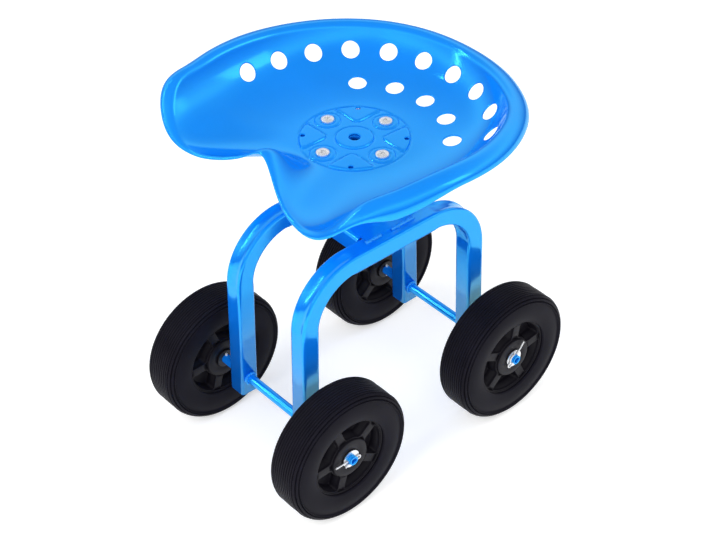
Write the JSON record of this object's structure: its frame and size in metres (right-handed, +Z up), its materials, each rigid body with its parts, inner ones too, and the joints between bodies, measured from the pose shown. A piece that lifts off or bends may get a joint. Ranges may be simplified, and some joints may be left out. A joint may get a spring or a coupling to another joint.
{
  "type": "rolling garden seat",
  "caption": "Rolling garden seat: a pressed tractor-style bowl swivels on a short post over bent square-tube hoops, carried by wide plastic wheels with grooved tyres.",
  "frame": {"origin": "on the floor, below the seat's swivel axis and midway between the four wheels", "axes": "+Z up; X along the axles, +X to the sitter's left, the side nearest the camera in the picture; the front of the seat, where its rim dips for the thighs, faces -Y"},
  "size_m": [0.3976, 0.45, 0.477],
  "materials": {
    "blue_paint": "gloss",
    "zinc": "satin",
    "black_nylon": "matte",
    "black_plastic": "satin",
    "black_rubber": "matte"
  },
  "bodies": {
    "frame": {"hoop_right": "blue_paint", "hoop_left": "blue_paint", "cross_plate": "blue_paint", "plate_welds": "blue_paint", "pivot_tube": "blue_paint", "pivot_bushes": "black_nylon", "axle_front": "blue_paint", "axle_rear": "blue_paint", "axle_welds": "blue_paint", "axle_washers": "zinc", "stop_pins": "zinc", "hairpin_clips": "zinc"},
    "seat": {"spindle": "blue_paint", "retaining_ring": "zinc", "seat_plate": "blue_paint", "seat_pan": "blue_paint", "seat_screws": "zinc", "seat_washers": "zinc", "seat_nuts": "zinc"},
    "wheel_fr": {"hub_fr": "black_plastic", "tyre_fr": "black_rubber"},
    "wheel_fl": {"hub_fl": "black_plastic", "tyre_fl": "black_rubber"},
    "wheel_rr": {"hub_rr": "black_plastic", "tyre_rr": "black_rubber"},
    "wheel_rl": {"hub_rl": "black_plastic", "tyre_rl": "black_rubber"}
  },
  "joints": [
    {"name": "seat_swivel", "type": "hinge", "parent": "frame", "child": "seat", "pos_m": [0, 0, 0.345], "axis": [0, 0, 1], "continuous": true},
    {"name": "wheel_fr_spin", "type": "hinge", "parent": "frame", "child": "wheel_fr", "pos_m": [0.1215, -0.136, 0.089], "axis": [1, 0, 0], "continuous": true},
    {"name": "wheel_fl_spin", "type": "hinge", "parent": "frame", "child": "wheel_fl", "pos_m": [-0.1215, -0.136, 0.089], "axis": [1, 0, 0], "continuous": true},
    {"name": "wheel_rr_spin", "type": "hinge", "parent": "frame", "child": "wheel_rr", "pos_m": [0.1215, 0.136, 0.089], "axis": [1, 0, 0], "continuous": true},
    {"name": "wheel_rl_spin", "type": "hinge", "parent": "frame", "child": "wheel_rl", "pos_m": [-0.1215, 0.136, 0.089], "axis": [1, 0, 0], "continuous": true}
  ]
}
